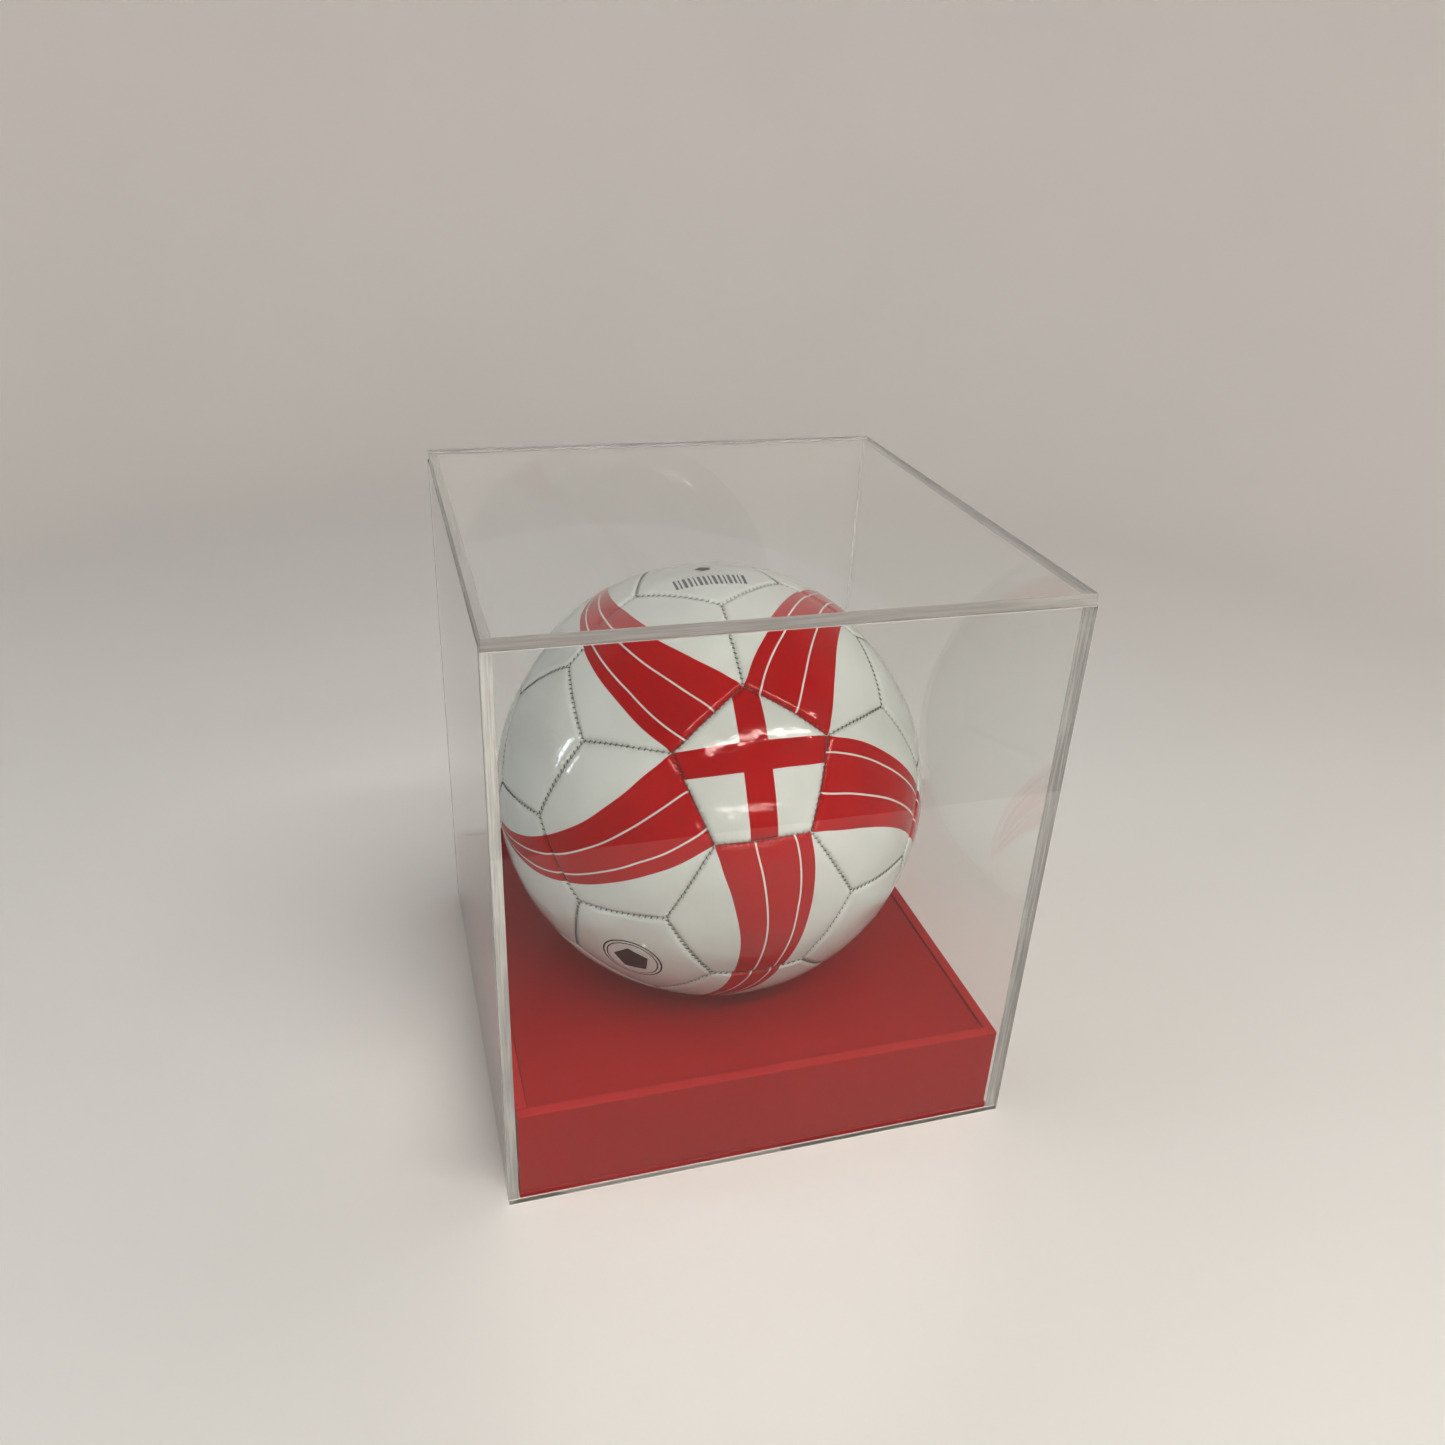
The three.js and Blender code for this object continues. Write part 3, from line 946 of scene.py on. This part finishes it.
def build_valve(material, hole):
    """A rubber plug with a raised rim, a dished face and a needle hole, turned about its own axis."""
    top = ball.radius - 0.45 * MM
    bore, wall = 0.9 * MM, hole - 0.25 * MM
    root = ball.radius - 17 * MM
    bulb = 1.35 * wall  # the wider part inside the bladder
    profile = [(0.0, root), (wall, root), (bulb, root + 2.5 * MM), (bulb, root + 12.5 * MM),
               (wall, root + 13.0 * MM), (wall, top - 0.5 * MM), (wall - 0.15 * MM, top - 0.15 * MM),
               (wall - 0.5 * MM, top), (wall - 0.9 * MM, top - 0.1 * MM), (wall - 1.3 * MM, top - 0.35 * MM),
               (bore + 0.5 * MM, top - 0.3 * MM), (bore + 0.15 * MM, top - 0.4 * MM), (bore, top - 0.7 * MM),
               (bore * 0.9, top - 11 * MM), (0.0, top - 11.5 * MM)]
    out = CENTRES[VALVE]
    beside = unit(np.cross(out, (0.0, 1.0, 0.0)))
    third = np.cross(out, beside)
    sides = 48
    positions, faces, rings = [], [], []
    for radius, height in profile:
        if radius == 0.0:
            rings.append([len(positions)] * sides)
            positions.append(out * height)
            continue
        rings.append([len(positions) + k for k in range(sides)])
        for k in range(sides):
            turn = math.tau * k / sides
            positions.append(out * height + radius * (beside * math.cos(turn) + third * math.sin(turn)))
    for lower, upper in zip(rings, rings[1:]):
        for k in range(sides):
            j = (k + 1) % sides
            corners = [lower[k], lower[j], upper[j], upper[k]]
            faces.append(tuple(dict.fromkeys(corners)))  # a triangle where a ring is one point
    return make_piece("valve_plug", ball.to_frame(np.array(positions)), faces, [material], "ball",
                      ["ball_valve"])


def build_ball():
    skins = [  # in the order WHITE, RED, BLACK, GREY
        glossy_print("ball_white", (0.50, 0.52, 0.50), (0.45, 0.465, 0.445)),
        glossy_print("ball_red", (0.34, 0.002, 0.004), (0.29, 0.002, 0.003)),
        glossy_print("ball_black", (0.015, 0.014, 0.016), (0.03, 0.03, 0.03)),
        glossy_print("ball_grey", (0.42, 0.42, 0.40), (0.37, 0.37, 0.35)),
    ]
    rubber = rubber_material()
    valve_hole = 4.0 * MM  # radius
    for number, (corners, pentagon) in enumerate(panel_outlines(), 1):
        build_panel(Panel(corners, pentagon), number, skins, valve_hole if pentagon == VALVE else None)
    build_thread(thread_material())
    build_valve(rubber, valve_hole)
    bladder = NODES["ball_bladder"].data.materials
    bladder.clear()
    bladder.append(rubber)


# ----------------------------------------------------------------------------------------------------
# Floor, backdrop, lights and camera

def pale_surface():
    """A pale surface, satin under the case and matt farther out."""
    made, tree = new_material("pale_surface")
    place = add_node(tree, "TexCoord").outputs["Object"]
    away = add_node(tree, "VectorMath", {"operation": "LENGTH"}, Vector=place).outputs["Value"]
    tone = mixed_colour(tree, ramp(tree, away, 0.35, 1.15, 0.0, 1.0), (0.94, 0.93, 0.91), (0.95, 0.92, 0.895))
    cloud = noise_of(tree, 0.25, 2.0)
    uneven = mixed_colour(tree, ramp(tree, cloud, 0.0, 1.0, 0.0, 0.1), tone, (0.7, 0.7, 0.7))
    satin = add_node(tree, "BsdfPrincipled", Base_Color=uneven,
                     Roughness=ramp(tree, cloud, 0.0, 1.0, 0.25, 0.35))
    matt = add_node(tree, "BsdfDiffuse", Color=uneven)
    finish_with(tree, mixed_shader(tree, ramp(tree, away, 0.26, 0.38, 0.0, 1.0), satin.outputs["BSDF"],
                                   matt.outputs["BSDF"]))
    return made


def build_stage():
    """A round floor that curves up into a wall on every side."""
    floor_radius, bend, wall = 0.95, 0.45, 1.5
    floor_rings, bend_rings, sides = 12, 16, 96
    profile = [(floor_radius * k / floor_rings, 0.0) for k in range(floor_rings + 1)]  # radius and height
    profile += [(floor_radius + bend * math.sin(a), bend * (1 - math.cos(a)))
                for a in (k * math.pi / 2 / bend_rings for k in range(1, bend_rings + 1))]
    profile.append((floor_radius + bend, wall))
    positions = [(0.0, 0.0, 0.0)]
    for radius, height in profile[1:]:
        turns = [math.tau * k / sides for k in range(sides)]
        positions += [(radius * math.cos(turn), radius * math.sin(turn), height) for turn in turns]
    faces = [(0, 1 + k, 1 + (k + 1) % sides) for k in range(sides)]
    for ring in range(len(profile) - 2):
        start = 1 + ring * sides
        for k in range(sides):
            j = (k + 1) % sides
            faces.append((start + k, start + sides + k, start + sides + j, start + j))
    mesh = bpy.data.meshes.new("stage")
    mesh.from_pydata(positions, [], faces)
    mesh.materials.append(pale_surface())
    mesh.polygons.foreach_set("use_smooth", [True] * len(mesh.polygons))
    stage = bpy.data.objects.new("stage", mesh)
    bpy.context.scene.collection.objects.link(stage)


AIM_POINT = Vector((0, 0, 0.14))  # all lamps point at the case's middle


def softbox(name, azimuth, elevation, distance, size, power, colour, roll=0.0):
    """A soft lamp. Azimuth 0 is in front of the case, and 90 to its right. Roll lifts its right end."""
    lamp = bpy.data.lights.new(name, "AREA")
    lamp.shape = "RECTANGLE"
    lamp.size, lamp.size_y = size
    lamp.energy = power
    lamp.color = colour
    holder = bpy.data.objects.new(name, lamp)
    a, e = math.radians(azimuth), math.radians(elevation)
    way = Vector((math.sin(a) * math.cos(e), -math.cos(a) * math.cos(e), math.sin(e)))
    holder.location = AIM_POINT + way * distance
    aim = way.to_track_quat("Z", "Y") @ Quaternion((0, 0, 1), math.radians(roll))
    holder.rotation_euler = aim.to_euler()
    holder.visible_camera = False
    bpy.context.scene.collection.objects.link(holder)
    return holder


def build_flag():
    """A black card seen only in reflections: it lies in front of the case and stands up behind the camera."""
    reach = 1.0
    profile = [(-0.40, 0.004), (-1.0, 0.004), (-1.1, 0.1), (-1.1, 1.4)]  # y and height
    corners = [(x, y, z) for y, z in profile for x in (-reach, reach)]
    faces = [(k, k + 1, k + 3, k + 2) for k in range(0, len(corners) - 2, 2)]
    mesh = bpy.data.meshes.new("flag")
    mesh.from_pydata(corners, [], faces)
    card, tree = new_material("flag")
    cloth = noise_of(tree, 0.01)
    tone = mixed_colour(tree, cloth, (0.01, 0.01, 0.01), (0.02, 0.02, 0.02))
    finish_with(tree, add_node(tree, "BsdfPrincipled", Base_Color=tone, Roughness=1.0).outputs["BSDF"])
    mesh.materials.append(card)
    flag = bpy.data.objects.new("flag", mesh)
    bpy.context.scene.collection.objects.link(flag)
    flag.visible_camera = flag.visible_diffuse = flag.visible_shadow = flag.visible_transmission = False


def build_lights():
    daylight, warm, cool, blue = (1.0, 0.96, 0.90), (1.0, 0.95, 0.86), (0.78, 0.9, 1.0), (0.86, 0.93, 1.0)
    softbox("window_high", 19, 50, 1.25, (1.4, 0.08), 5.4, daylight, roll=-8)
    softbox("window_low", 0, 14.3, 1.05, (0.54, 0.024), 0.9, daylight)
    softbox("window_left", -98, 14, 1.2, (0.05, 0.34), 0.7, blue)
    # Weak square fills that no reflection shows.
    fills = (("front_fill", 50, 35, 0.9, 0.5, warm), ("left_fill", -85, 30, 0.8, 0.3, cool),
             ("back_fill", 170, 35, 0.9, 0.5, cool), ("overhead", 0, 88, 1.5, 0.5, warm))
    fill_distance = 1.5
    for name, azimuth, elevation, side, power, colour in fills:
        fill = softbox(name, azimuth, elevation, fill_distance, (side, side), power, colour)
        fill.visible_glossy = False
    world = bpy.data.worlds.new("studio")
    bpy.context.scene.world = world
    world.use_nodes = True
    sky = world.node_tree.nodes["Background"].inputs
    sky["Color"].default_value = (0.93, 0.96, 1.0, 1)
    sky["Strength"].default_value = 0.125
    world.cycles_visibility.glossy = False


def build_camera():
    """A hand-held view from the front left, looking down on the case."""
    place = Vector((-0.1582, -0.5190, 0.4600))
    azimuth, elevation, roll = (math.radians(d) for d in (17.56, -27.76, 2.86))
    lens = bpy.data.cameras.new("camera")
    lens.lens = 30.0
    lens.sensor_width = 36.0
    lens.clip_start = 0.01
    holder = bpy.data.objects.new("camera", lens)
    turn = (Matrix.Rotation(-azimuth, 4, "Z") @ Matrix.Rotation(math.pi / 2 + elevation, 4, "X")
            @ Matrix.Rotation(roll, 4, "Z"))
    holder.matrix_world = Matrix.Translation(place) @ turn
    bpy.context.scene.collection.objects.link(holder)
    bpy.context.scene.camera = holder


build_camera()
build_case()
build_ball()
build_stage()
build_flag()
build_lights()
bpy.context.scene.view_settings.view_transform = "Standard"
bpy.context.scene.view_settings.look = "High Contrast"
